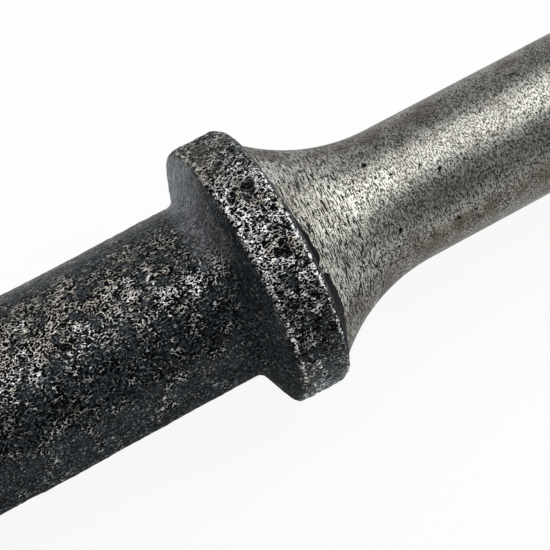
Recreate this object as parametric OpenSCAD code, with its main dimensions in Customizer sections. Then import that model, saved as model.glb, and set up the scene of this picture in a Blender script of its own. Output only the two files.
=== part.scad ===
// Forked chisel bit for an air hammer, which wedges a tie rod end out of its arm.
// It is one steel forging. Each module below is one stretch of it, and the
// stretches meet face to face. The bit lies along X: the face that the hammer
// strikes is centred on the origin, and the fork's tips point to -X.

/* [Shank] */
// Diameter of the straight shank, which slides in the hammer's sleeve
shank_d = 10.18; // [8:0.01:12.5]
// Length of the straight shank, from the struck face to the flare
shank_l = 32; // [20:0.5:50]
// Chamfer round the struck face
struck_chamfer = 1.2; // [0.4:0.1:2.5]
// Length of the hollow flare between the shank and the collar
flare_l = 9.3; // [6:0.1:14]

/* [Collar] */
// Diameter of the collar that the retainer holds
collar_d = 19.6; // [18:0.1:24]
// Width of the collar's rim
rim_w = 3.9; // [2.5:0.1:6]
// How far the collar's front face leans forward between its rim and the stem
face_lean = 1.25; // [0.6:0.05:2]
// Height of the step from the flare's foot up to the collar's rim
flare_step = 1; // [0.8:0.05:1.5]
// Rounding of the rim's edge towards the shank
rim_back_r = 0.75; // [0.2:0.05:0.8]
// Rounding of the rim's edge towards the stem
rim_front_r = 0.7; // [0.2:0.05:1]
// Fillet where the collar's front face runs into the stem
collar_fillet_r = 1; // [0.3:0.1:1.4]

/* [Stem] */
// Diameter of the round stem
stem_d = 13.2; // [11:0.1:14.5]
// Length of the round stem, from the collar's fillet to the fork's head
stem_l = 56; // [30:1:120]

/* [Fork] */
// Length of the head, from the stem to the root of the slot
head_l = 26; // [25:0.5:40]
// Width of the fork across both tines
fork_w = 38; // [34:0.5:44]
// Width of the slot that goes round the tie rod's stud
slot_w = 17.5; // [12:0.5:20]
// Depth of the slot, from the tines' tips to its root
slot_l = 60; // [45:1:90]
// Thickness of the wedge at its ridge
wedge_h = 19; // [17:0.5:24]
// Thickness of the tines at their tips
tip_h = 1.6; // [1:0.1:3]
// Distance of the ridge behind the root of the slot
ridge_back = 4; // [2:0.5:8]
// Slope of the ridge's back, down to the head's neck
ridge_slope = 20; // [15:1:30]
// Slope of the shoulders, seen from above
shoulder_slope = 45; // [40:1:60]
// Length of the head's neck, from the stem to the foot of the shoulders
neck_l = 9; // [8.5:0.5:12]

/* [Rounding] */
// Rounding of the fork's shoulders, seen from above
shoulder_r = 8; // [3:0.5:10]
// Hollow between the neck and the shoulders, seen from above
neck_r = 12; // [4:0.5:16]
// Rounding of the ridge
ridge_r = 8; // [3:0.5:14]
// Hollow where the round stem swells into the neck
swell_r = 10; // [6:0.5:12]
// Rounding of the outer corner of each tip
tip_outer_r = 5; // [2:0.5:7]
// Rounding of the inner corner of each tip
tip_inner_r = 1.5; // [0.5:0.1:3]
// Chamfer along the tines' outer edges
outer_chamfer = 1.4; // [0.5:0.1:2.5]
// Chamfer along the slot's edges
slot_chamfer = 1; // [0.4:0.1:1.6]

/* [Hidden] */
$fn = 96;
ground_steel = [0.56, 0.55, 0.53];
black_scale = [0.12, 0.12, 0.13];

// How far the head's neck stands proud of the round stem
neck_proud = 0.6;
// Slope of the swell from the round stem out to the neck's corners
swell_slope = 60;
// Overlap that carries a cut clean through a surface
past = 1;
// Reach of a rounded corner's heel beyond the corner itself
heel = 0.3;

shank_r = shank_d / 2;
collar_r = collar_d / 2;
stem_r = stem_d / 2;
foot_r = collar_r - flare_step;
flare_rise = foot_r - shank_r;
flare_arc_r = (flare_l * flare_l + flare_rise * flare_rise) / (2 * flare_rise);
collar_front = rim_w + face_lean;
collar_l = collar_front + tangent_length(lean_angle(), collar_fillet_r);

flare_x = -shank_l;
collar_x = flare_x - flare_l;
stem_x = collar_x - collar_l;
head_x = stem_x - stem_l;
root_x = head_x - head_l;
tine_x = root_x - slot_w / 2;
tip_x = root_x - slot_l;

fork_half = fork_w / 2;
slot_half = slot_w / 2;
ridge_half = wedge_h / 2;
neck_half = stem_r + neck_proud;
neck_x = head_x - neck_l;
shoulder_x = neck_x - (fork_half - neck_half) / tan(shoulder_slope);
ridge_x = root_x + ridge_back;
ridge_foot_x = ridge_x + (ridge_half - neck_half) / tan(ridge_slope);
wedge_run = ridge_x - tip_x;
wedge_slope = atan((ridge_half - tip_h / 2) / wedge_run);
swell_reach = norm([fork_half, ridge_half]) + past;

// Angle, on its open side, between the collar's front face and the stem
function lean_angle() = 90 + atan(face_lean / (collar_r - stem_r));

// Distance from a corner of the given angle to where an arc of radius r touches its sides
function tangent_length(angle, r) = r / tan(angle / 2);

function unit(v) = v / norm(v);

// The area between the corner p, whose sides run towards a and b, and an arc of
// radius r that touches both sides, with a heel that reaches back past the corner.
// Taken off an outer corner or added to an inner one, it rounds the corner.
module corner(p, a, b, r) {
    to_a = unit(a - p);
    to_b = unit(b - p);
    angle = acos(to_a * to_b);
    reach = tangent_length(angle, r);
    bisector = unit(to_a + to_b);
    centre = p + bisector * r / sin(angle / 2);
    difference() {
        polygon([p - bisector * heel, p + to_a * reach, centre, p + to_b * reach]);
        translate(centre) circle(r = r);
    }
}

// Turns an outline of radius against length about the X axis; length 0 lies at x
module turned(x) {
    translate([x, 0, 0]) rotate([0, 90, 0]) rotate_extrude() children();
}

// Draws an outline and its mirror image below the X axis
module both_sides() {
    children();
    mirror([0, 1, 0]) children();
}

// Half of the head's plan, above the X axis, with the round root of the slot cut out
module half_head_plan() {
    stem_side = [head_x, neck_half];
    neck = [neck_x, neck_half];
    shoulder = [shoulder_x, fork_half];
    tine_side = [tine_x, fork_half];
    difference() {
        union() {
            polygon([[head_x, 0], stem_side, neck, shoulder, tine_side, [tine_x, 0]]);
            corner(neck, stem_side, shoulder, neck_r);
        }
        corner(shoulder, neck, tine_side, shoulder_r);
        translate([tine_x, 0]) circle(r = slot_half);
    }
}

// The plan of the tine above the X axis, with its tip's corners rounded
module tine_plan() {
    inner_tip = [tip_x, slot_half];
    outer_tip = [tip_x, fork_half];
    difference() {
        translate(inner_tip) square([tine_x - tip_x, fork_half - slot_half]);
        corner(outer_tip, inner_tip, [tine_x, fork_half], tip_outer_r);
        corner(inner_tip, outer_tip, [tine_x, slot_half], tip_inner_r);
    }
}

// Half of the fork's side view, above the X axis: a wedge that falls away to the neck
module half_side() {
    neck = [head_x, neck_half];
    foot = [ridge_foot_x, neck_half];
    ridge = [ridge_x, ridge_half];
    tip = [tip_x, tip_h / 2];
    difference() {
        union() {
            polygon([[head_x, 0], neck, foot, ridge, tip, [tip_x, 0]]);
            corner(foot, neck, ridge, ridge_r);
        }
        corner(ridge, foot, tip, ridge_r);
    }
}

// The fork's side view as a block as wide as the fork
module side_block() {
    rotate([90, 0, 0]) translate([0, 0, -fork_w])
        linear_extrude(2 * fork_w) both_sides() half_side();
}

// A plan as a block thicker than the wedge
module plan_block() {
    translate([0, 0, -wedge_h]) linear_extrude(2 * wedge_h) children();
}

// A square bar that cuts a chamfer of the given size along an edge that it runs along
module chamfer_bar(run, chamfer) {
    side = chamfer * sqrt(2);
    rotate([45, 0, 0]) translate([-past, -side / 2, -side / 2]) cube([run + past, side, side]);
}

// Puts its children on the wedge's upper and lower faces, with their X axis along
// the slope and their origin over the centre line at the distance along_x
module on_slopes(along_x) {
    height = tip_h / 2 + (along_x - tip_x) * tan(wedge_slope);
    for (under = [0, 1])
        mirror([0, 0, under])
            translate([along_x, 0, height]) rotate([0, -wedge_slope, 0]) children();
}

module shank() {
    color(ground_steel) turned(0) difference() {
        translate([0, -shank_l]) square([shank_r, shank_l]);
        polygon([[shank_r - struck_chamfer, 0], [shank_r + past, past], [shank_r, -struck_chamfer]]);
    }
}

module flare() {
    color(ground_steel) turned(flare_x) difference() {
        translate([0, -flare_l]) square([foot_r, flare_l]);
        translate([shank_r + flare_arc_r, 0]) circle(r = flare_arc_r);
    }
}

module retaining_collar() {
    back = [collar_r, 0];
    front = [collar_r, -rim_w];
    foot = [stem_r, -collar_front];
    end = [stem_r, -collar_l];
    hollow = foot + unit(front - foot) * norm(end - foot);
    color(black_scale) turned(collar_x) difference() {
        polygon([[0, 0], back, front, hollow, end, [0, -collar_l]]);
        translate([stem_r + collar_fillet_r, -collar_l]) circle(r = collar_fillet_r);
        corner(back, [0, 0], front, rim_back_r);
        corner(front, back, foot, rim_front_r);
    }
}

module stem() {
    color(black_scale) turned(stem_x)
        translate([0, -stem_l]) square([stem_r, stem_l]);
}

// The head swells from the round stem into the root of the wedge
module fork_head() {
    reach = tangent_length(180 - swell_slope, swell_r);
    run = (swell_reach - stem_r) / tan(swell_slope);
    start = [stem_r, 0];
    bend = [stem_r, -reach];
    out = [swell_reach, -reach - run];
    end = tine_x - head_x;
    color(black_scale) difference() {
        intersection() {
            plan_block() both_sides() half_head_plan();
            side_block();
            turned(head_x) difference() {
                polygon([[0, 0], start, bend + unit(out - bend) * reach, out, [swell_reach, end], [0, end]]);
                translate([stem_r + swell_r, 0]) circle(r = swell_r);
            }
        }
        on_slopes(tine_x) {
            for (side = [0, 1])
                mirror([0, side, 0])
                    translate([0, fork_half, 0]) chamfer_bar(shoulder_x - tine_x, outer_chamfer);
            translate([0, 0, -slot_chamfer - past])
                cylinder(h = slot_chamfer + 2 * past, r1 = slot_half - past, r2 = slot_half + slot_chamfer + past);
        }
    }
}

// One tine of the fork, on the side of +Y
module tine() {
    run = (tine_x - tip_x) / cos(wedge_slope) + past;
    color(black_scale) difference() {
        intersection() {
            plan_block() tine_plan();
            side_block();
        }
        on_slopes(tip_x) {
            translate([0, fork_half, 0]) chamfer_bar(run, outer_chamfer);
            translate([0, slot_half, 0]) chamfer_bar(run, slot_chamfer);
        }
    }
}

module left_tine() {
    mirror([0, 1, 0]) tine();
}

module right_tine() {
    tine();
}

shank();
flare();
retaining_collar();
stem();
fork_head();
left_tine();
right_tine();
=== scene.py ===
"""The looks of a forked air hammer bit: a black forging with a ground flare and shank.

Lengths are in millimetres until MM turns them into metres. Only the studio's own sizes
are in metres from the start. The bit lies along X, with its struck end at the origin
and its fork towards -X.
"""
import math

import bmesh
import bpy
import numpy as np
from mathutils import Matrix, Vector


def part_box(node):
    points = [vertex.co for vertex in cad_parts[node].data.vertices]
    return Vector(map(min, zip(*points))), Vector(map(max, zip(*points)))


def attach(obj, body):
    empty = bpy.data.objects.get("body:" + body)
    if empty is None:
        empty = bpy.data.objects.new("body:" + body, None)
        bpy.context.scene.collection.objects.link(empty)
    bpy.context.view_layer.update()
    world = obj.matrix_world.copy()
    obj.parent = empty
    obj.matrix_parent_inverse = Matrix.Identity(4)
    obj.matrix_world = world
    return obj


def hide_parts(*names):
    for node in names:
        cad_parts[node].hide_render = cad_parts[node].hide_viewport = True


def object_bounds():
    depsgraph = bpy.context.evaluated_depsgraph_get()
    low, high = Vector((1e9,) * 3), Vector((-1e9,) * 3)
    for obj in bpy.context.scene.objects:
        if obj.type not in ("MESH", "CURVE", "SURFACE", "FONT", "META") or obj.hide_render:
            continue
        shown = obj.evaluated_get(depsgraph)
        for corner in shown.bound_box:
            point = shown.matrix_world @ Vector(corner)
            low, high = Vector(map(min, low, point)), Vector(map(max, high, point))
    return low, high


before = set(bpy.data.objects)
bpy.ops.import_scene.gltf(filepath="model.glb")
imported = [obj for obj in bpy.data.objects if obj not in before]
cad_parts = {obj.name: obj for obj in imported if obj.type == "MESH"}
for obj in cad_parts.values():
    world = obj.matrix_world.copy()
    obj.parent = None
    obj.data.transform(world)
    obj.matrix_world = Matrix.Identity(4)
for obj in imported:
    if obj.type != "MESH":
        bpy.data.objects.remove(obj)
cad_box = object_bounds()
scene = bpy.context.scene

MM = 0.001
MM_PER_M = 1000.0

# Camera, fitted to the outline of the bit in the photograph
VIEW_AZIMUTH = math.radians(-119.84)
VIEW_ELEVATION = math.radians(68.5)
VIEW_DISTANCE = 143.5
FOCAL_PIXELS = 2057.0
IMAGE_PIXELS = 550.0
SENSOR_WIDTH = 36.0
NEAR_CLIP_M = 0.01
# The point aimed at lies this far in front of the collar's back face, and it shows this
# far to the right of the picture's middle and above it
AIM_FROM_COLLAR_BACK = 1.85
AIM_RIGHT = -1.02
AIM_UP = 0.57

# Studio, with sizes in metres
FLOOR_REACH_M = 6.0
PAPER_WHITE = (0.92, 0.92, 0.92, 1.0)
LIGHT_WHITE = (1.0, 1.0, 1.0, 1.0)
# The share of even white in the floor that the camera and the steel see. The rest is
# paper, which takes the bit's shadow.
EVEN_WHITE = 0.92
WORLD_STRENGTH = 0.16

# Forms of the forging that the solids' boxes don't give
STRUCK_CHAMFER = 1.2
STRUCK_EDGE_ROUND = 0.14
STRUCK_MIDDLE = 0.3
RIM_WIDTH = 3.9
FACE_LEAN = 1.25
RIM_BACK_ROUND = 0.75
RIM_FRONT_ROUND = 0.6
COLLAR_FILLET = 1.0
# The collar was forged a little off the shank's axis
COLLAR_SHIFT = np.array([0.0, 0.147, 0.050])
# The middle of the side on which the bit is most worn, in degrees from +Y towards +Z
WORN_SIDE = 108.9
# How far the black skin left on the flare stands proud, and its share of the forging's
# relief
SKIN_PROUD = 0.07
SKIN_ROUGH = 0.25
# How much more the collar's fillet is worn than the stem, where both are
FILLET_WEAR = 0.10

# How finely each skin is drawn: faces round it, and steps along its outline
SHANK_TURNS = 240
SHANK_STEP = 0.14
STRUCK_STEP = 0.07
FLARE_TURNS = 480
FLARE_STEP = 0.13
FOOT_STEP = 0.07
COLLAR_TURNS = 700
COLLAR_STEP = 0.085
STEM_TURNS = 330
STEM_STEP = 0.30
STEM_END_STEP = 0.13
# The fork is remeshed in cubes of this size
FORK_VOXEL = 0.36
# Edges sharper than this stay sharp when a piece is shaded smooth
SHARP_ANGLE = math.radians(60.0)

# Reliefs, as layers of (height, size across, seed). The forging has slow swells from the
# dies, hammer scale, a grain and a finer grain. Ground steel has faint waves and rings.
FORGED_LAYERS = ((0.045, 5.0, 11), (0.028, 1.5, 12), (0.026, 0.55, 13), (0.022, 0.27, 14))
WAVE_LAYERS = ((0.005, 2.2, 21),)
RING_LAYERS = ((0.002, 0.30, 22),)
SKIN_EDGE_LAYERS = ((0.06, 0.9, 41), (0.06, 0.35, 42))
# Rings are drawn out round the bit by shrinking Y and Z before the noise is read
ROUND_PULL = np.array([1.0, 0.15, 0.15])

# Random values of a noise, and large primes that scatter its cells over them
NOISE_VALUES = 4096
CELL_PRIMES = (73856093, 19349663, 83492791)


def box_mm(node):
    """A node's lowest and highest corners at rest, in millimetres."""
    low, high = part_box(node)
    return np.array(low) * MM_PER_M, np.array(high) * MM_PER_M


SHANK_LOW, SHANK_HIGH = box_mm("shank")
STEM_LOW, STEM_HIGH = box_mm("stem")
TINE_LOW, TINE_HIGH = box_mm("right_tine")

# Radii, and where each stretch of the bit begins on its way to the tips
SHANK_R = SHANK_HIGH[2]
FOOT_R = box_mm("flare")[1][2]
COLLAR_R = box_mm("retaining_collar")[1][2]
STEM_R = STEM_HIGH[2]
FLARE_X = SHANK_LOW[0]
COLLAR_X = box_mm("retaining_collar")[1][0]
STEM_X = STEM_HIGH[0]
HEAD_X = STEM_LOW[0]
TINE_X = TINE_HIGH[0]
TIP_X = TINE_LOW[0]
AIM = np.array([COLLAR_X - AIM_FROM_COLLAR_BACK, 0.0, 0.0])


# Shapes in numpy

def smooth_step(value, low, high):
    """0 below low, 1 above high, and an even S curve between them."""
    share = np.clip((value - low) / (high - low), 0.0, 1.0)
    return share * share * (3.0 - 2.0 * share)


def rise_and_fall(value, rise_low, rise_high, fall_low, fall_high):
    """An S curve up from 0 to 1, and another back down to 0."""
    return smooth_step(value, rise_low, rise_high) * (1.0 - smooth_step(value, fall_low, fall_high))


def bell(offset, width):
    """1 at no offset, falling off evenly to both sides: e to the -(offset / width)^2."""
    return np.exp(-(offset / width) ** 2)


def lattice_noise(points, size, seed):
    """A smooth random field over space, from -1 to 1. Each corner of a cubic lattice
    with the given spacing has a random value, and a point blends the eight round it
    by the S curve 6 t^5 - 15 t^4 + 10 t^3."""
    draw = np.random.default_rng(seed)
    values = draw.uniform(-1.0, 1.0, NOISE_VALUES)
    scaled = points / size + draw.uniform(0.0, 1.0, 3)
    cell = np.floor(scaled).astype(np.int64)
    part = scaled - cell
    part = part * part * part * (part * (part * 6.0 - 15.0) + 10.0)
    total = np.zeros(points.shape[:-1])
    for corner in np.ndindex(2, 2, 2):
        at = cell + np.array(corner)
        key = at[..., 0] * CELL_PRIMES[0] ^ at[..., 1] * CELL_PRIMES[1] ^ at[..., 2] * CELL_PRIMES[2]
        weight = np.prod(np.where(np.array(corner) == 1, part, 1.0 - part), axis=-1)
        total += weight * values[key % NOISE_VALUES]
    return total


def layered(points, layers):
    """The sum of noises given as layers of (height, size across, seed)."""
    return sum(height * lattice_noise(points, size, seed) for height, size, seed in layers)


def forged_height(points):
    """How far the forging's skin stands proud of the true shape."""
    return layered(points, FORGED_LAYERS)


def ground_height(points):
    """How far ground steel stands proud of the true shape: hardly at all."""
    return layered(points, WAVE_LAYERS) + layered(points * ROUND_PULL, RING_LAYERS)


def dents(points, centres, radii, depths):
    """Round dents: each sinks its stretch of skin by depth * (1 - (distance / radius)^2)^2."""
    sunk = np.zeros(points.shape[:-1])
    for centre, radius, depth in zip(centres, radii, depths):
        share = np.clip(1.0 - np.sum((points - centre) ** 2, axis=-1) / radius**2, 0.0, 1.0)
        sunk = np.maximum(sunk, depth * share * share)
    return sunk


def wandering(points, size, reach, seed):
    """The points, each moved by up to reach in a direction that drifts over space, so
    that what is round when measured from the true points comes out ragged."""
    drift = [lattice_noise(points, size, seed + axis) for axis in range(3)]
    return points + reach * np.stack(drift, axis=-1)


def places_round(draw, count, low_x, high_x, radius):
    """Random points on a cylinder round the X axis."""
    turn = draw.uniform(0.0, 2.0 * math.pi, count)
    x = draw.uniform(low_x, high_x, count)
    return np.stack([x, radius * np.cos(turn), radius * np.sin(turn)], axis=1)


def clusters(draw, middles, each, spread, smallest, largest):
    """Centres and radii of dents in clusters: so many each, spread about the middles."""
    centres = np.repeat(middles, each, axis=0)
    centres = centres + draw.normal(0.0, spread, centres.shape)
    return centres, draw.uniform(smallest, largest, len(centres))


def ground_pits(points, draw, middles, each, spread, largest):
    """Small ragged pits in ground steel. Each is a cluster of round dents."""
    centres, radii = clusters(draw, middles, each, spread, smallest=0.10, largest=largest)
    depths = draw.uniform(0.02, 0.07, len(radii))
    return dents(wandering(points, size=0.3, reach=0.08, seed=33), centres, radii, depths)


def rounded(corners, radii, arc_points=14):
    """An outline through the corners, with each inner one replaced by an arc of its
    radius that touches both of its sides. Each point is (x, radius from the axis)."""
    outline = [np.array(corners[0], float)]
    for before, corner, after, radius in zip(corners, corners[1:], corners[2:], radii):
        corner = np.array(corner, float)
        side_a = np.array(before, float) - corner
        side_b = np.array(after, float) - corner
        side_a /= np.linalg.norm(side_a)
        side_b /= np.linalg.norm(side_b)
        half_angle = 0.5 * math.acos(float(side_a @ side_b))
        middle = side_a + side_b
        centre = corner + middle / np.linalg.norm(middle) * radius / math.sin(half_angle)
        start = corner + side_a * radius / math.tan(half_angle) - centre
        end = corner + side_b * radius / math.tan(half_angle) - centre
        for share in np.linspace(0.0, 1.0, arc_points):
            spoke = start * (1.0 - share) + end * share
            outline.append(centre + spoke / np.linalg.norm(spoke) * radius)
    outline.append(np.array(corners[-1], float))
    return np.array(outline)


def sampled(outline, split_x, step_above, step_below):
    """The outline cut into even stretches: about step_above long where x is at least
    split_x, and about step_below long elsewhere."""
    stretches = np.linalg.norm(np.diff(outline, axis=0), axis=1)
    lengths = np.concatenate([[0.0], np.cumsum(stretches)])
    fine = np.linspace(0.0, lengths[-1], 20000)
    x = np.interp(fine, lengths, outline[:, 0])
    step = np.where(x >= split_x, step_above, step_below)
    count = np.concatenate([[0.0], np.cumsum(np.diff(fine) / step[1:])])
    wanted = np.linspace(0.0, count[-1], int(round(count[-1])) + 1)
    at = np.interp(wanted, count, fine)
    return np.stack([np.interp(at, lengths, outline[:, i]) for i in (0, 1)], axis=1)


def turned_skin(outline, turns):
    """An outline of (x, radius) turned about the X axis. Gives the points and their
    outward normals, both as arrays of ring, place round the ring and coordinate."""
    angle = np.arange(turns) * 2.0 * math.pi / turns
    slope = np.gradient(outline, axis=0)
    slope /= np.linalg.norm(slope, axis=1)[:, None]
    x = outline[:, 0][:, None]
    radius = outline[:, 1][:, None]
    lean = -slope[:, 1][:, None]
    lift = slope[:, 0][:, None]
    points = np.stack([x + 0 * angle, radius * np.cos(angle), radius * np.sin(angle)], axis=-1)
    normals = np.stack([lean + 0 * angle, lift * np.cos(angle), lift * np.sin(angle)], axis=-1)
    return points, normals


def closed_rings(points):
    """The points of a turned skin and its faces: a quad between neighbouring rings, and
    a fan from the middle of the first and of the last ring, so that the solid is closed."""
    rings, turns, _ = points.shape
    index = np.arange(rings * turns).reshape(rings, turns)
    onward = np.roll(index, -1, axis=1)
    quads = np.stack([index[:-1], onward[:-1], onward[1:], index[1:]], axis=-1).reshape(-1, 4)
    low_pole = rings * turns
    high_pole = low_pole + 1
    low_fan = np.stack([np.full(turns, low_pole), onward[0], index[0]], axis=-1)
    high_fan = np.stack([np.full(turns, high_pole), index[-1], onward[-1]], axis=-1)
    poles = np.stack([points[0].mean(axis=0), points[-1].mean(axis=0)])
    all_points = np.concatenate([points.reshape(-1, 3), poles])
    return all_points, quads.tolist() + low_fan.tolist() + high_fan.tolist()


def linked(name, data):
    """A new object of the scene, at the origin, from its mesh, lamp or camera."""
    new_object = bpy.data.objects.new(name, data)
    scene.collection.objects.link(new_object)
    return new_object


def smooth_piece(name, mesh):
    """A piece from its mesh, shaded smooth but for its sharp edges."""
    mesh.shade_smooth()
    mesh.set_sharp_from_angle(angle=SHARP_ANGLE)
    return linked(name, mesh)


def add_attribute(mesh, name, values):
    """Stores one number for each vertex, which a material reads by the name."""
    attribute = mesh.attributes.new(name, "FLOAT", "POINT")
    attribute.data.foreach_set("value", values.astype(np.float32))


def turned_piece(name, points, attributes):
    """A closed piece from a turned skin, with an attribute from each array of values.
    A pole takes the mean of its ring."""
    all_points, faces = closed_rings(points)
    mesh = bpy.data.meshes.new(name)
    mesh.from_pydata((all_points * MM).tolist(), [], faces)
    for key, values in attributes.items():
        at_poles = [values[0].mean(), values[-1].mean()]
        add_attribute(mesh, key, np.concatenate([values.reshape(-1), at_poles]))
    return smooth_piece(name, mesh)


def angle_round(points):
    """Degrees round the bit from its worn side, from -180 to 180, growing towards -Y
    where they pass over +Z."""
    angle = np.degrees(np.arctan2(points[..., 2], points[..., 1])) - WORN_SIDE
    return np.mod(angle + 180.0, 360.0) - 180.0


# Pieces

# A piece's attributes steer its material. On the black forging they are wear, edge for
# bright worn edges, pit for the depth of dents, stain for brown and olive, painted_shade for
# shade painted as dead black skin towards -Y, tight for smaller crinkles,
# slate_and_painted_light for bluish grey spokes painted lighter towards +Y as painted light,
# dull for a rougher skin, and scraped. On the ground steel they are pit, skin for how far
# inside the black skin left standing a point lies, streaky for long scratches, which also
# places the painted light at the flare's foot, oil_and_painted_shade for old oil and for
# shade painted on the bit's two edges, and hammered for the struck face. An attribute that a
# piece lacks reads 0.

def oil_and_painted_shade(points):
    """Old oil along the two edges of the worn side, as a share from 0 to 1. It also
    stands for painted shade there, darkening both edges.
    """
    angle = angle_round(points)
    one_edge = rise_and_fall(-angle, 40.0, 60.0, 100.0, 140.0)
    other_edge = rise_and_fall(angle, 26.0, 50.0, 100.0, 140.0)
    return one_edge + other_edge


def make_shank():
    """The straight shank: its outline is a line with a chamfer and a flat struck face.
    It has small pits all over, and shallow round blows on the struck face."""
    chamfer_r = SHANK_R - STRUCK_CHAMFER
    outline = rounded(
        [(FLARE_X, SHANK_R), (-STRUCK_CHAMFER, SHANK_R), (0.0, chamfer_r), (0.0, STRUCK_MIDDLE)],
        [STRUCK_EDGE_ROUND, STRUCK_EDGE_ROUND])
    outline = sampled(outline, split_x=-1.6, step_above=STRUCK_STEP, step_below=SHANK_STEP)
    points, normals = turned_skin(outline, SHANK_TURNS)
    draw = np.random.default_rng(31)
    middles = places_round(draw, count=84, low_x=FLARE_X, high_x=-2.0, radius=SHANK_R)
    pits = ground_pits(points, draw, middles, each=4, spread=0.11, largest=0.26)
    blow_count = 26
    blow_reach = 3.4
    struck = draw.uniform(-blow_reach, blow_reach, (2, blow_count))
    struck = np.stack([np.zeros(blow_count), *struck], axis=1)
    blow_radii = draw.uniform(0.3, 0.9, blow_count)
    blow_depths = draw.uniform(0.01, 0.04, blow_count)
    blows = dents(points, struck, blow_radii, blow_depths)
    points = points + normals * (ground_height(points) - pits - blows)[..., None]
    no_black_skin = np.full(points.shape[:-1], -1.0)
    return turned_piece("ground_shank", points, {
        "pit": pits,
        "skin": no_black_skin,
        "oil_and_painted_shade": oil_and_painted_shade(points),
        "hammered": smooth_step(normals[..., 0], 0.2, 0.6),
    })


def skin_width(points):
    """Width of the black skin that the grinding left at the flare's foot, by the angle
    round the bit: a sliver that widens, a pinch, and then a long crescent that narrows
    again under the bit. Its edge is ragged, and it ends where it gets too thin."""
    thinnest = 0.08
    angle = angle_round(points)
    sliver = 0.28 * smooth_step(angle, -23.0, -17.0) + 0.22 * smooth_step(angle, -9.0, -1.0)
    sliver *= 1.0 - smooth_step(angle, 8.0, 14.5)
    crescent = 0.60 * smooth_step(angle, 14.5, 18.0) + 0.16 * smooth_step(angle, 20.0, 30.0)
    narrowing = 1.0 - 0.70 * smooth_step(angle, 34.0, 56.0)
    crescent *= narrowing * (1.0 - smooth_step(angle, 120.0, 165.0))
    width = np.maximum(sliver, crescent)
    ragged = layered(points, SKIN_EDGE_LAYERS)
    return width + np.where(width > thinnest, ragged, 0.0) - thinnest


def make_flare():
    """The hollow flare: one arc that leaves the shank along it and meets the collar at
    the foot. It has small pits, and black forging skin is left standing on its foot in a
    strip of changing width."""
    length = FLARE_X - COLLAR_X
    rise = FOOT_R - SHANK_R
    arc_r = (length**2 + rise**2) / (2.0 * rise)
    x = np.linspace(0.0, length, 400)
    radius = SHANK_R + arc_r - np.sqrt(arc_r**2 - (length - x) ** 2)
    outline = np.stack([COLLAR_X + x, radius], axis=1)
    outline = sampled(outline, split_x=COLLAR_X + 1.6, step_above=FLARE_STEP, step_below=FOOT_STEP)
    points, normals = turned_skin(outline, FLARE_TURNS)
    skin = skin_width(points) - (points[..., 0] - COLLAR_X)
    left_on = smooth_step(skin, -0.04, 0.04)
    draw = np.random.default_rng(35)
    pit_count = 36
    rings, turns, _ = points.shape
    middles = points[draw.integers(0, rings, pit_count), draw.integers(0, turns, pit_count)]
    pits = ground_pits(points, draw, middles, each=3, spread=0.10, largest=0.24)
    height = ground_height(points) + SKIN_PROUD * left_on
    height = height + SKIN_ROUGH * left_on * forged_height(points) - pits
    points = points + normals * height[..., None]
    return turned_piece("ground_flare", points, {
        "pit": pits,
        "skin": skin,
        "streaky": 1.0 - smooth_step(points[..., 0], COLLAR_X + 3.0, FLARE_X + 1.0),
        "oil_and_painted_shade": oil_and_painted_shade(points),
    })


def stem_wear(angle):
    """How rubbed the stem is by the angle round it in degrees: most on its upper side."""
    return 0.26 + 0.35 * rise_and_fall(angle, -66.0, -38.0, -10.0, 9.0)


def worn_fillet(angle):
    """1 where the stem's worn patches run on up the collar's fillet, 0 elsewhere."""
    return rise_and_fall(angle, -28.0, -12.0, 14.0, 34.0)


def collar_attributes(angle, x, radius, on_rim, front_edge, back_edge):
    """The collar's rim is rubbed most on the worn side, with bright edges, tight crinkles
    and an olive stain towards +Y, and painted shade blackens more of it towards -Y. Its face
    has bluish grey spokes towards +Y that are painted light, and is dull towards -Y. The
    stem's worn patches run on up its fillet."""
    # The rim is less worn towards -Y, and painted shade blackens more of its skin there.
    shaded_side = smooth_step(angle, 0.0, 28.0) * (1.0 - 0.5 * smooth_step(angle, 60.0, 90.0))
    wear = on_rim * (0.87 - 0.44 * shaded_side - 0.26 * smooth_step(-angle, 34.0, 58.0))
    by_stem = 1.0 - smooth_step(radius, STEM_R + 0.2, STEM_R + 1.3)
    wear += (stem_wear(angle) + FILLET_WEAR) * worn_fillet(angle) * by_stem
    dull_front = 0.70 - 0.22 * smooth_step(angle, 30.0, 70.0)
    sharp_back = 0.53 + 0.21 * rise_and_fall(angle, -40.0, -15.0, 20.0, 60.0)
    edge = np.clip(dull_front * front_edge + sharp_back * back_edge, 0.0, 1.0)
    stain = 1.0 - smooth_step(angle, -58.0, -38.0)
    # Painted light: the face and fillet are painted a lighter bluish grey towards +Y, but not on the
    # outer ring by the rim or on the back face.
    outer_ring = smooth_step(radius, COLLAR_R - 2.0, COLLAR_R - 0.8)
    outer_ring *= 1.0 - smooth_step(-angle, 42.0, 62.0)
    back_face = smooth_step(x, COLLAR_X - 1.2, COLLAR_X - 0.6)
    slate_and_painted_light = smooth_step(-angle, 0.0, 22.0) * (1.0 - outer_ring) * (1.0 - on_rim) * (1.0 - back_face)
    dull = smooth_step(angle, 14.0, 48.0) * (1.0 - on_rim * smooth_step(angle, 34.0, 56.0))
    dull += on_rim * smooth_step(-angle, 50.0, 80.0)
    return {
        "wear": wear, "edge": edge, "stain": stain * on_rim, "painted_shade": 0.4 * shaded_side * on_rim,
        "tight": on_rim, "slate_and_painted_light": slate_and_painted_light, "dull": dull}


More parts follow.
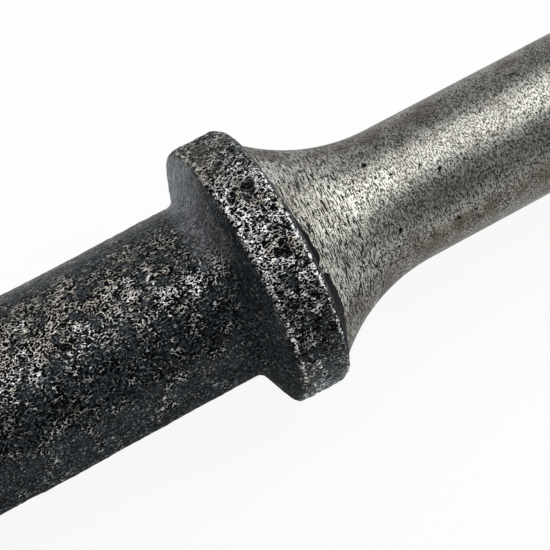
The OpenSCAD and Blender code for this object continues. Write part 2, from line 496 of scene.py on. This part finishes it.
def make_collar():
    """The collar: fillet, leaning front face, rounded rim and a narrow back face. It is
    shifted off the axis by the forging dies, its rim has ragged dents all round, and
    both of the rim's edges are nibbled."""
    front = COLLAR_X - RIM_WIDTH
    foot = front - FACE_LEAN
    outline = rounded([
        (STEM_X, STEM_R), (foot, STEM_R), (front, COLLAR_R), (COLLAR_X, COLLAR_R),
        (COLLAR_X, FOOT_R - 0.5),
    ], [COLLAR_FILLET, RIM_FRONT_ROUND, RIM_BACK_ROUND])
    outline = sampled(outline, split_x=front, step_above=COLLAR_STEP, step_below=COLLAR_STEP)
    points, normals = turned_skin(outline, COLLAR_TURNS)
    x = points[..., 0]
    radius = np.linalg.norm(points[..., 1:], axis=-1)
    on_rim = smooth_step(radius, COLLAR_R - 0.35, COLLAR_R - 0.05)
    near_rim = smooth_step(radius, COLLAR_R - 0.6, COLLAR_R - 0.1)
    front_edge = bell(x - front - 0.25, width=0.29) * on_rim
    back_edge = bell(x - COLLAR_X + 0.37, width=0.23) * near_rim
    draw = np.random.default_rng(51)
    middles = places_round(draw, count=44, low_x=front + 0.7, high_x=COLLAR_X - 0.9, radius=COLLAR_R)
    centres, radii = clusters(draw, middles, each=4, spread=0.30, smallest=0.20, largest=0.70)
    depths = 0.26 * radii * draw.uniform(0.6, 1.2, len(radii))
    ragged = wandering(points, size=0.8, reach=0.26, seed=61)
    ragged = wandering(ragged, size=0.32, reach=0.13, seed=65)
    pits = dents(ragged, centres, radii, depths)
    nibbled = 0.10 * (front_edge + 0.6 * back_edge) * np.abs(lattice_noise(points, size=0.42, seed=52))
    rough = on_rim * 0.030 * lattice_noise(points, size=0.33, seed=53)
    rough += on_rim * 0.018 * lattice_noise(points, size=0.19, seed=54)
    height = forged_height(points) + rough - pits - nibbled
    moved = smooth_step(radius, STEM_R, STEM_R + 2.0)
    points = points + normals * height[..., None] + moved[..., None] * COLLAR_SHIFT
    attributes = collar_attributes(angle_round(points), x, radius, on_rim, front_edge, back_edge)
    return turned_piece("forged_collar", points, {"pit": pits, **attributes})


def make_stem():
    """The round stem: a plain cylinder with the forging's skin on it, drawn finer where
    it nears the collar. Its wear and stains fade out where the fork begins. They fade
    towards the collar too, apart from the side where they run on up the fillet."""
    outline = np.array([(HEAD_X, STEM_R), (STEM_X, STEM_R)])
    outline = sampled(outline, split_x=STEM_X - 22.0, step_above=STEM_END_STEP, step_below=STEM_STEP)
    points, normals = turned_skin(outline, STEM_TURNS)
    angle = angle_round(points)
    x = points[..., 0]
    past_fork = smooth_step(x, HEAD_X, HEAD_X + 12.0)
    open_end = smooth_step(x, STEM_X - 2.0, STEM_X) * (1.0 - worn_fillet(angle))
    near = past_fork * (1.0 - open_end)
    wear = stem_wear(angle)
    wear = wear + FILLET_WEAR * worn_fillet(angle) * smooth_step(x, STEM_X - 4.0, STEM_X - 1.0)
    further = 1.0 - smooth_step(x, STEM_X - 12.0, STEM_X - 5.0)
    wear += 0.09 * further * (1.0 - smooth_step(angle, -22.0, -8.0))
    stain = 1.0 - smooth_step(angle, -25.0, -5.0)
    # Painted shade: a band of dead black skin on the stem just towards -Y of the worn side.
    painted_shade = 0.85 * rise_and_fall(angle, 0.0, 10.0, 28.0, 46.0)
    by_collar = smooth_step(x, STEM_X - 1.1, STEM_X + 0.2)
    # Painted light: a lighter bluish grey is painted on the stem towards +Y next to the collar.
    slate_and_painted_light = by_collar * smooth_step(-angle, 0.0, 22.0)
    dull = smooth_step(angle, 34.0, 66.0) * past_fork
    dull = np.maximum(dull, by_collar * smooth_step(angle, 14.0, 48.0))
    points = points + normals * forged_height(points)[..., None]
    return turned_piece("forged_stem", points, {
        "wear": wear * near, "stain": stain * near, "painted_shade": painted_shade * near,
        "slate_and_painted_light": slate_and_painted_light, "dull": dull,
    })


def joined_fork():
    """The solids of the stem, head and tines as one closed skin of even faces, with the
    walls between them taken out first."""
    wall_within = 0.01
    merge_within = 0.02
    joined = bmesh.new()
    for node in ("stem", "fork_head", "left_tine", "right_tine"):
        joined.from_mesh(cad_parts[node].data)
    walls = []
    for face in joined.faces:
        for wall_x in (HEAD_X, TINE_X):
            if all(abs(vertex.co.x * MM_PER_M - wall_x) < wall_within for vertex in face.verts):
                walls.append(face)
    bmesh.ops.delete(joined, geom=walls, context="FACES")
    bmesh.ops.remove_doubles(joined, verts=joined.verts, dist=merge_within * MM)
    mesh = bpy.data.meshes.new("fork_rough")
    joined.to_mesh(mesh)
    joined.free()
    rough = linked("fork_rough", mesh)
    remesh = rough.modifiers.new("even_faces", "REMESH")
    remesh.mode = "VOXEL"
    remesh.voxel_size = FORK_VOXEL * MM
    graph = bpy.context.evaluated_depsgraph_get()
    even = bpy.data.meshes.new_from_object(rough.evaluated_get(graph))
    bpy.data.objects.remove(rough)
    bpy.data.meshes.remove(mesh)
    return even


def vertex_rows(mesh, kind):
    """A mesh's vertex positions or normals, one row each."""
    values = np.empty(len(mesh.vertices) * 3)
    mesh.vertices.foreach_get(kind, values)
    return values.reshape(-1, 3)


def softened(points, edges, passes):
    """The points after so many passes, in each of which a point moves halfway to the
    mean of those that share an edge with it."""
    neighbours = np.bincount(edges.reshape(-1), minlength=len(points)).astype(float)
    for _ in range(passes):
        total = np.zeros_like(points)
        np.add.at(total, edges[:, 0], points[edges[:, 1]])
        np.add.at(total, edges[:, 1], points[edges[:, 0]])
        points = 0.5 * points + 0.5 * (total / neighbours[:, None])
    return points


def forge_fork_skin(mesh):
    """Softens the fork's edges, makes the stem's end round again, and then raises the
    forging's skin along the normals. Wear follows how proud each vertex stood."""
    edge_passes = 14
    wear_passes = 10
    wear_from_proud = 2.6
    least_wear = 0.05
    start = vertex_rows(mesh, "co") * MM_PER_M
    edges = np.empty(len(mesh.edges) * 2, np.int64)
    mesh.edges.foreach_get("vertices", edges)
    edges = edges.reshape(-1, 2)
    points = softened(start, edges, edge_passes)
    soft = softened(points, edges, wear_passes)
    on_stem = smooth_step(points[:, 0], HEAD_X - 2.0, HEAD_X)
    to_round = STEM_R / np.linalg.norm(points[:, 1:], axis=1)
    round_stem = points * np.stack([np.ones(len(points)), to_round, to_round], axis=1)
    points = points * (1.0 - on_stem)[:, None] + round_stem * on_stem[:, None]
    mesh.vertices.foreach_set("co", (points * MM).reshape(-1))
    mesh.update()
    normals = vertex_rows(mesh, "normal")
    proud = np.sum((points - soft) * normals, axis=1) + np.sum((start - points) * normals, axis=1)
    points = points + normals * forged_height(points)[:, None]
    mesh.vertices.foreach_set("co", (points * MM).reshape(-1))
    on_fork = 1.0 - on_stem
    scraped = 1.0 - smooth_step(points[:, 0], TIP_X + 6.0, TIP_X + 34.0)
    wear = np.clip(proud * wear_from_proud, least_wear, 1.0)
    add_attribute(mesh, "wear", wear * on_fork)
    add_attribute(mesh, "scraped", on_fork * scraped)


def cut_out(mesh, name, cuts):
    """The part of the mesh that lies behind each plane of (point, outward normal),
    closed where the planes cut it."""
    part = bmesh.new()
    part.from_mesh(mesh)
    for point, outward in cuts:
        geometry = list(part.verts) + list(part.edges) + list(part.faces)
        cut = bmesh.ops.bisect_plane(
            part, geom=geometry, plane_co=Vector(point) * MM, plane_no=outward, clear_outer=True)
        rim = [item for item in cut["geom_cut"] if isinstance(item, bmesh.types.BMEdge)]
        bmesh.ops.edgeloop_fill(part, edges=rim)
    bmesh.ops.recalc_face_normals(part, faces=part.faces)
    piece_mesh = bpy.data.meshes.new(name)
    part.to_mesh(piece_mesh)
    part.free()
    return smooth_piece(name, piece_mesh)


def make_fork():
    """The head and the two tines, cut from one softened skin so that they meet exactly."""
    skin = joined_fork()
    forge_fork_skin(skin)
    at_stem = (HEAD_X, 0.0, 0.0)
    at_tines = (TINE_X, 0.0, 0.0)
    middle = (0.0, 0.0, 0.0)
    head = cut_out(skin, "forged_head", [(at_stem, (1, 0, 0)), (at_tines, (-1, 0, 0))])
    left = cut_out(skin, "forged_left_tine", [(at_tines, (1, 0, 0)), (middle, (0, 1, 0))])
    right = cut_out(skin, "forged_right_tine", [(at_tines, (1, 0, 0)), (middle, (0, -1, 0))])
    bpy.data.meshes.remove(skin)
    return head, left, right


# Materials

class Wire:
    """A node's output, on which arithmetic adds Math nodes."""

    def __init__(self, finish, socket):
        self.finish = finish
        self.socket = socket

    def maths(self, operation, first, second):
        return self.finish.node("ShaderNodeMath", {"operation": operation}, {0: first, 1: second})

    def __add__(self, other):
        return self.maths("ADD", self, other)

    def __sub__(self, other):
        return self.maths("SUBTRACT", self, other)

    def __mul__(self, other):
        return self.maths("MULTIPLY", self, other)

    def __radd__(self, other):
        return self.maths("ADD", other, self)

    def __rsub__(self, other):
        return self.maths("SUBTRACT", other, self)

    def __rmul__(self, other):
        return self.maths("MULTIPLY", other, self)


class Finish:
    """A material whose nodes are written as expressions."""

    def __init__(self, name):
        self.material = bpy.data.materials.new(name)
        self.material.use_nodes = True
        self.tree = self.material.node_tree
        self.tree.nodes.clear()

    def node(self, kind, settings=None, sockets=None, output=0):
        """A node with its settings made first, and then its sockets set or linked. An
        output of None is for a node that has none."""
        node = self.tree.nodes.new(kind)
        for key, value in (settings or {}).items():
            setattr(node, key, value)
        for key, value in (sockets or {}).items():
            if isinstance(value, Wire):
                self.tree.links.new(value.socket, node.inputs[key])
            else:
                node.inputs[key].default_value = value
        return None if output is None else Wire(self, node.outputs[output])

    def vector(self, operation, first, second=(0.0, 0.0, 0.0), output="Vector"):
        """Arithmetic on vectors. An operation on one vector leaves the second alone."""
        return self.node(
            "ShaderNodeVectorMath", {"operation": operation}, {0: first, 1: second}, output)

    def place(self, stretch=(1.0, 1.0, 1.0), shift=0.0):
        """The point on the piece in millimetres, times stretch, and moved by shift so
        that no two patterns lie alike."""
        point = self.node("ShaderNodeTexCoord", output="Object")
        scaled = self.vector("MULTIPLY", point, tuple(MM_PER_M * share for share in stretch))
        return self.vector("ADD", scaled, (shift, shift, shift))

    def noise_at(self, point, size, detail, roughness=0.5):
        """Noise from 0 to 1 over a point, with features about size millimetres across."""
        return self.node("ShaderNodeTexNoise", sockets={
            "Vector": point, "Scale": 1.0 / size, "Detail": detail, "Roughness": roughness})

    def noise(self, size, detail=2.0, roughness=0.5, stretch=(1.0, 1.0, 1.0), shift=0.0):
        """Noise over the piece. A stretch below 1 draws it out along that axis."""
        return self.noise_at(self.place(stretch, shift), size, detail, roughness)

    def turned_noise(self, size, pull, shift):
        """Noise drawn out round the X axis, as a wheel leaves it. The distance from the
        axis is added to the point, so that an end face gets rings."""
        radius = self.vector("LENGTH", self.place((0.0, 1.0, 1.0)), output="Value")
        outward = self.node("ShaderNodeCombineXYZ", sockets={"Y": radius})
        point = self.vector("ADD", self.place((1.0, pull, pull), shift), outward)
        return self.noise_at(point, size, 0.0)

    def spoke_noise(self, size, radius, pull, shift):
        """Noise drawn out along lines that leave the X axis: it is read mostly by the
        direction from the axis, as though every point lay at the radius."""
        direction = self.vector("NORMALIZE", self.place((0.0, 1.0, 1.0)))
        ring = self.vector("MULTIPLY", direction, (radius, radius, radius))
        point = self.vector("ADD", ring, self.place((pull, pull, pull), shift))
        return self.noise_at(point, size, 1.0)

    def step(self, value, low, high):
        """0 below low, 1 above high and an S curve between."""
        return self.node(
            "ShaderNodeMapRange", {"interpolation_type": "SMOOTHSTEP"},
            {"Value": value, "From Min": low, "From Max": high})

    def ridge(self, value, middle, full, none):
        """1 where the value is within full of the middle, and 0 where it is further
        from it than none."""
        distance = self.node("ShaderNodeMath", {"operation": "ABSOLUTE"}, {0: value - middle})
        return 1.0 - self.step(distance, full, none)

    def attribute(self, name):
        """A number that the piece's mesh stores for each vertex."""
        return self.node("ShaderNodeAttribute", {"attribute_name": name}, output="Fac")

    def mix(self, share, first, second):
        """A colour between first and second, which are the Mix node's sockets 6 and 7.
        Its output 2 gives the colour."""
        return self.node(
            "ShaderNodeMix", {"data_type": "RGBA", "clamp_factor": True},
            {0: share, 6: first, 7: second}, output=2)

    def bump(self, height):
        """A normal from a height in millimetres."""
        return self.node("ShaderNodeBump", sockets={"Height": height, "Distance": MM})

    def surface(self, shader):
        """The material, with the shader as its surface."""
        self.node("ShaderNodeOutputMaterial", sockets={"Surface": shader}, output=None)
        return self.material


BLACK_SKIN = (0.032, 0.042, 0.050, 1.0)
BLACK_DEEP = (0.0012, 0.0015, 0.002, 1.0)
BLUED_SHEEN = (0.88, 0.96, 1.0, 1.0)
OLIVE_SKIN = (0.056, 0.050, 0.036, 1.0)
# A lighter bluish grey skin, painted where light falls: painted light.
SLATE_AND_LIGHT_SKIN = (0.262, 0.264, 0.278, 1.0)
BARE_STEEL = (0.90, 0.905, 0.90, 1.0)
BROWN_STEEL = (0.57, 0.505, 0.41, 1.0)
GROUND_GREY = (0.192, 0.190, 0.170, 1.0)
GROUND_BRIGHT = (0.545, 0.538, 0.493, 1.0)
# Painted light: steel painted brighter at the flare's foot.
FOOT_PAINTED_LIGHT = (0.70, 0.69, 0.633, 1.0)
GROUND_DARK = (0.005, 0.0045, 0.0035, 1.0)
GROUND_BROWN = (0.115, 0.100, 0.076, 1.0)
LEFT_SKIN = (0.007, 0.008, 0.010, 1.0)


def black_scale():
    """Black lacquer over a crinkled forging skin. Where it is rubbed, bright steel shows
    along the crinkles' crests, which are the lines where a noise crosses its middle
    value, on grit, on the lips of dents, on worn edges and in the scrapes near the tips.
    The hollows between are left dead black, and painted shade turns more of the skin dead
    black where its attribute is set. Brown and olive stains, bluish grey spokes that are
    painted light, and a rougher skin go where the piece's attributes put them."""
    finish = Finish("black_scale")
    wear = finish.attribute("wear")
    edge = finish.attribute("edge")
    painted_shade = finish.attribute("painted_shade")
    scraped = finish.attribute("scraped")
    tight = finish.attribute("tight")
    slate_and_painted_light = finish.attribute("slate_and_painted_light")
    dull = finish.attribute("dull")
    stained = finish.attribute("stain")
    pit = finish.step(finish.attribute("pit"), 0.02, 0.07)

    # Patterns, from the finest to the broadest, and scrapes along the bit
    fine = finish.noise(size=0.112, detail=0.0, stretch=(0.75, 1.0, 1.0), shift=11.0)
    leather = finish.noise(size=0.22, detail=1.0, stretch=(0.8, 1.0, 1.0), shift=5.0)
    small_crinkle = finish.noise(size=0.225, detail=0.0, stretch=(0.68, 1.0, 1.0), shift=67.0)
    crinkle = finish.noise(size=0.245, detail=0.0, stretch=(0.70, 1.0, 1.0), shift=3.0)
    broken = finish.noise(size=0.36, detail=1.0, shift=17.0)
    blotch = finish.noise(size=0.70, detail=2.0, roughness=0.55, shift=41.0)
    blotch = finish.step(blotch, 0.54, 0.61)
    patch = finish.noise(size=1.25, detail=3.0, roughness=0.60, shift=7.0)
    cloud = finish.noise(size=2.1, detail=2.0, shift=31.0)
    streak = finish.noise(size=0.11, detail=0.0, stretch=(0.022, 1.0, 1.0), shift=51.0)
    spokes = finish.spoke_noise(size=0.13, radius=7.5, pull=0.40, shift=5.0)
    spokes = finish.step(spokes, 0.40, 0.59)

    # Bare steel
    wide_crest = finish.ridge(crinkle, middle=0.5, full=0.018, none=0.062)
    small_crest = finish.ridge(small_crinkle, middle=0.5, full=0.022, none=0.068)
    crest = wide_crest * (1.0 - tight) + small_crest * tight
    rubbed = finish.step(wear + (patch - 0.5) * 2.3 - pit * 0.75, 0.16, 1.02)
    kept = finish.step(broken + fine * 0.25 + rubbed * 0.22 - blotch * wear * 0.12, 0.68, 0.77)
    grit = finish.step(fine + rubbed * 0.08 - blotch * wear * 0.10, 0.64, 0.71)
    lip = finish.ridge(pit, middle=0.42, full=0.10, none=0.36) * wear
    shown = crest * kept * (0.34 + rubbed * 0.66) + grit * (0.08 + rubbed * 0.50) + lip * 0.40
    worn_edge = finish.step(edge + (fine - 0.5) * 1.1 + (broken - 0.5) * 1.1, 0.55, 0.85)
    scrape = finish.step(streak + scraped * 0.12 + (patch - 0.5) * 0.60, 0.76, 0.86) * scraped
    bare = shown + worn_edge * 0.9 + scrape * 0.45
    stain = finish.step(cloud + stained * 0.20, 0.52, 0.68)
    steel = finish.mix(stain * 0.75, BARE_STEEL, BROWN_STEEL)

    # Black skin
    # Where the skin goes dead black: in crinkle hollows, dents and unrubbed places, and where painted
    # shade is set.
    dirt_and_shade = rubbed + painted_shade * 0.40 + (broken - 0.5) + blotch * wear * 0.5 + pit * 0.9 + tight * 0.10
    hollow = finish.step(dirt_and_shade, 0.20, 0.58) * (1.0 - crest) * (1.0 - slate_and_painted_light * 0.4)
    mottle = finish.step(patch, 0.44, 0.56)
    skin = finish.mix(finish.step(fine * 0.45 + leather * 0.55, 0.42, 0.58), BLACK_DEEP, BLACK_SKIN)
    skin = finish.mix(stain * stained * tight, skin, OLIVE_SKIN)
    # Painted light: a lighter bluish grey skin with a metal sheen, where its attribute is set.
    skin = finish.mix(slate_and_painted_light * (0.14 + spokes * 0.86) * (0.62 + mottle * 0.38), skin, SLATE_AND_LIGHT_SKIN)
    skin = finish.mix(hollow * 0.95, skin, BLACK_DEEP)

    height = shown * 0.008 + fine * 0.055 + leather * 0.115 + spokes * slate_and_painted_light * 0.05
    return finish.surface(finish.node("ShaderNodeBsdfPrincipled", sockets={
        "Base Color": finish.mix(bare, skin, steel),
        "Metallic": bare * 0.85 + hollow * 0.95 + spokes * slate_and_painted_light * (1.0 - hollow) * 0.90,
        "Roughness": 0.40 + hollow * 0.10 - bare * 0.08 + dull * 0.55 * (1.0 - bare),
        "Normal": finish.bump(height),
        "Specular IOR Level": 0.14,
        "Specular Tint": BLUED_SHEEN,
    }))


def ground_steel():
    """Warm grey ground steel: dark scratches left round it by the wheel, longer at the flare's
    foot, where the steel is painted brighter as painted light, dark specks in clusters, dark
    pits, old oil that also paints shade on the bit's two edges, and the black skin that the
    wheel missed. The struck face has few scratches."""
    finish = Finish("ground_steel")
    skin = finish.attribute("skin")
    streaky = finish.attribute("streaky")
    oil_and_shade = finish.attribute("oil_and_painted_shade")
    face = finish.attribute("hammered")
    pit = finish.step(finish.attribute("pit"), 0.006, 0.024)
    on_foot = finish.step(streaky, 0.55, 0.97)

    # Patterns: three that the wheel drew out round the bit, and four that it didn't
    short_scratch = finish.turned_noise(size=0.092, pull=0.42, shift=1.0)
    long_scratch = finish.turned_noise(size=0.100, pull=0.20, shift=73.0)
    hair = finish.turned_noise(size=0.078, pull=0.26, shift=9.0)
    speck = finish.noise(size=0.108, detail=0.0, shift=23.0)
    ragged = finish.noise(size=0.30, detail=2.0, roughness=0.6, shift=13.0)
    cluster = finish.noise(size=0.80, detail=2.0, roughness=0.6, shift=57.0)
    cloud = finish.noise(size=2.2, detail=3.0, roughness=0.6, shift=29.0)

    scratch = short_scratch + (long_scratch - short_scratch) * on_foot
    cut = (1.0 - finish.step(scratch, 0.35, 0.405)) * (0.30 + streaky * 0.70) * (1.0 - face * 0.8)
    # Dark specks in clusters, and more of them along the bit's two edges as painted shade.
    gathered = speck - (cluster - 0.5) * 0.34 - oil_and_shade * 0.06 + face * 0.06
    specks_and_shade = 1.0 - finish.step(gathered, 0.305, 0.36)
    dark = cut + specks_and_shade - cut * specks_and_shade
    light = finish.step(scratch * 0.4 + hair * 0.3 + speck * 0.3, 0.45, 0.56)
    brown = finish.step(cloud + oil_and_shade * 0.10, 0.50, 0.68)
    black = finish.step(skin + ragged * 0.24 - 0.12, -0.012, 0.012)

    # Painted light: the bright steel is painted brighter still at the flare's foot.
    bright = finish.mix(on_foot, GROUND_BRIGHT, FOOT_PAINTED_LIGHT)
    colour = finish.mix(light, GROUND_GREY, bright)
    # Brown clouds and old oil, and the oil also paints shade on the bit's two edges.
    colour = finish.mix(brown * 0.40 + oil_and_shade * 0.50, colour, GROUND_BROWN)
    colour = finish.mix(dark * 0.95, colour, GROUND_DARK)
    colour = finish.mix(pit, colour, GROUND_DARK)
    height = scratch * (0.010 + streaky * 0.022) + hair * 0.010 + speck * 0.010
    return finish.surface(finish.node("ShaderNodeBsdfPrincipled", sockets={
        "Base Color": finish.mix(black, colour, LEFT_SKIN),
        "Metallic": 0.82 - dark * 0.12,
        "Roughness": 0.31 + streaky * 0.13 + dark * 0.15 + black * 0.12 + oil_and_shade * 0.06,
        "Normal": finish.bump(height),
        "Specular IOR Level": 0.20,
    }))


def studio_floor():
    """White paper that looks white to the camera and in the steel, apart from the bit's
    soft shadow. To all other rays it is plain paper."""
    finish = Finish("studio_floor")
    camera, glossy, passed = [
        finish.node("ShaderNodeLightPath", output=f"Is {kind} Ray")
        for kind in ("Camera", "Glossy", "Transmission")]
    paper = finish.node("ShaderNodeBsdfDiffuse", sockets={"Color": PAPER_WHITE})
    glow = finish.node("ShaderNodeEmission", sockets={"Color": LIGHT_WHITE, "Strength": 1.0})
    share = (camera + glossy + passed) * EVEN_WHITE
    return finish.surface(finish.node("ShaderNodeMixShader", sockets={0: share, 1: paper, 2: glow}))


# Studio

def view_axes():
    """The camera's right, up and backward directions."""
    flat = math.cos(VIEW_ELEVATION)
    back = np.array([
        flat * math.cos(VIEW_AZIMUTH), flat * math.sin(VIEW_AZIMUTH), math.sin(VIEW_ELEVATION)])
    right = np.array([-math.sin(VIEW_AZIMUTH), math.cos(VIEW_AZIMUTH), 0.0])
    return right, np.cross(back, right), back


def make_camera():
    """The camera that sees the bit as the photograph does."""
    right, up, back = view_axes()
    place = AIM - AIM_RIGHT * right - AIM_UP * up + VIEW_DISTANCE * back
    data = bpy.data.cameras.new("photo_view")
    data.sensor_fit = "HORIZONTAL"
    data.sensor_width = SENSOR_WIDTH
    data.lens = SENSOR_WIDTH * FOCAL_PIXELS / IMAGE_PIXELS
    data.clip_start = NEAR_CLIP_M
    camera = linked("photo_view", data)
    turn = Matrix((right, up, back)).transposed().to_4x4()
    camera.matrix_world = Matrix.Translation(Vector(place * MM)) @ turn
    scene.camera = camera


def make_floor():
    """A wide square at the lowest point of the bit."""
    low_z = cad_box[0][2]
    corners = [
        (x * FLOOR_REACH_M, y * FLOOR_REACH_M, low_z) for x, y in ((-1, -1), (1, -1), (1, 1), (-1, 1))]
    mesh = bpy.data.meshes.new("studio_floor")
    mesh.from_pydata(corners, [], [(0, 1, 2, 3)])
    mesh.materials.append(studio_floor())
    linked("studio_floor", mesh)


def softbox(name, roll, along, distance, width, height, radiance):
    """A rectangular lamp that faces the bit, with its sizes in metres and its angles in
    degrees. Roll turns it round the bit's axis from the view's direction towards -Y, and
    along leans it towards the shank. It shines as a surface of that radiance would."""
    roll = math.radians(roll)
    along = math.radians(along)
    back = view_axes()[2]
    axis = np.array([1.0, 0.0, 0.0])
    facing = back - axis * back[0]
    facing /= np.linalg.norm(facing)
    side = np.cross(axis, facing)
    around = math.cos(roll) * facing + math.sin(roll) * side
    direction = Vector(math.cos(along) * around + math.sin(along) * axis)
    data = bpy.data.lights.new(name, "AREA")
    data.shape = "RECTANGLE"
    data.size = width
    data.size_y = height
    data.energy = radiance * math.pi * width * height
    lamp = linked(name, data)
    lamp.location = Vector(AIM * MM) + direction * distance
    lamp.rotation_euler = direction.to_track_quat("Z", "Y").to_euler()


def light_studio():
    """A key lamp over the bit, one beyond its struck end, a weak one low on the other
    side, and a dim white world."""
    softbox(
        "key_softbox", roll=-40.5, along=8.0, distance=0.6, width=1.0, height=0.56, radiance=1.7)
    softbox(
        "end_softbox", roll=-26.0, along=56.0, distance=0.7, width=0.5, height=0.8, radiance=1.9)
    softbox(
        "fill_softbox", roll=66.0, along=0.0, distance=0.7, width=0.8, height=0.3, radiance=0.3)
    world = bpy.data.worlds.new("studio")
    scene.world = world
    world.use_nodes = True
    background = world.node_tree.nodes["Background"]
    background.inputs["Color"].default_value = LIGHT_WHITE
    background.inputs["Strength"].default_value = WORLD_STRENGTH


def dress(piece, material, node):
    """Gives a piece its material and its body, and hides the node that it stands for."""
    piece.data.materials.append(material)
    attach(piece, "root")
    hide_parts(node)


scene.view_settings.view_transform = "Standard"
make_camera()
make_floor()
light_studio()

scale = black_scale()
steel = ground_steel()
dress(make_shank(), steel, "shank")
dress(make_flare(), steel, "flare")
dress(make_collar(), scale, "retaining_collar")
dress(make_stem(), scale, "stem")
for fork_piece, node in zip(make_fork(), ("fork_head", "left_tine", "right_tine")):
    dress(fork_piece, scale, node)
